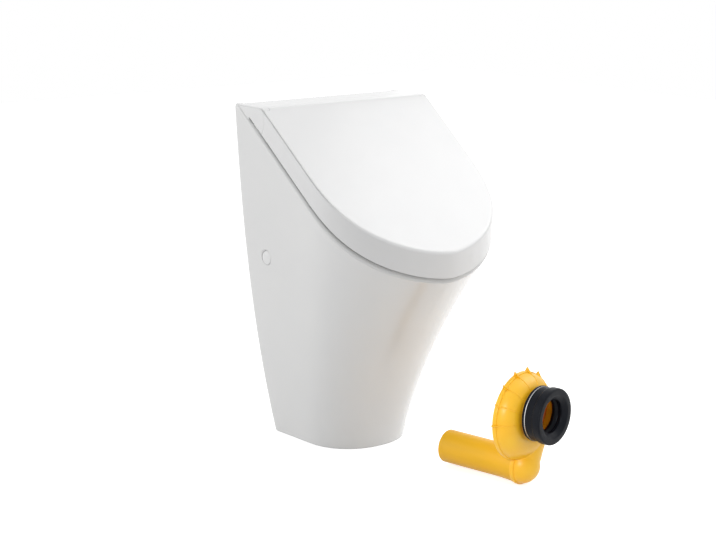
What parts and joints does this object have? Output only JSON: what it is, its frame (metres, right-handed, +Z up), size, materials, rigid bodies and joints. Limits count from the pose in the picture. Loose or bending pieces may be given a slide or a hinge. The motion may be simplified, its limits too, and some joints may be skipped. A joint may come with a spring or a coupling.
{
  "type": "wall urinal with lid and siphon trap",
  "caption": "Compact wall urinal in white glazed china with a soft-closing hinged lid, wall brackets, water inlet and outlet, and its yellow horizontal siphon trap standing beside it.",
  "frame": {"origin": "middle of the wall plane, level with the flat base under the china", "axes": "+X to the right as one stands facing the urinal, +Y into the wall, +Z up"},
  "size_m": [0.33, 0.499, 0.533],
  "materials": {
    "china": "glossy white glaze",
    "lid_white": "glossy white",
    "cap_white": "glossy white",
    "zinc_steel": "zinc plated",
    "stainless": "brushed",
    "soft_grey": "matt",
    "damper_grey": "matt",
    "pipe_grey": "matt",
    "black_rubber": "satin",
    "trap_yellow": "satin moulded",
    "trap_orange": "satin moulded",
    "trap_pipe": "satin moulded"
  },
  "bodies": {
    "urinal": {"ceramic_bowl": "china", "hinge_bracket_left": "zinc_steel", "hinge_bracket_right": "zinc_steel", "hinge_cover_left": "lid_white", "hinge_cover_right": "lid_white", "soft_close_damper_left": "damper_grey", "soft_close_damper_right": "damper_grey", "hinge_bolts": "zinc_steel", "hinge_seats": "black_rubber", "hinge_washers": "zinc_steel", "hinge_nuts": "zinc_steel", "side_cover_caps": "cap_white", "side_screws": "zinc_steel", "side_bushes": "pipe_grey", "wall_bracket_left": "zinc_steel", "wall_bracket_right": "zinc_steel", "water_inlet_pipe": "pipe_grey", "inlet_seal": "black_rubber", "inlet_nut": "pipe_grey", "water_spreader": "cap_white", "outlet_strainer": "stainless", "trap_front_shell": "trap_yellow", "trap_rear_shell": "trap_yellow", "trap_outlet_pipe": "trap_pipe", "trap_baffle": "trap_orange", "trap_clamp_ring": "stainless", "trap_inlet_sleeve": "black_rubber"},
    "lid": {"lid": "lid_white", "lid_buffers": "soft_grey", "hinge_pin_left": "stainless", "hinge_pin_right": "stainless"}
  },
  "joints": [
    {"name": "lid_hinge", "type": "hinge", "parent": "urinal", "child": "lid", "pos_m": [0, -0.038, 0.515], "axis": [-1, 0, 0], "range_deg": [0, 126]}
  ]
}
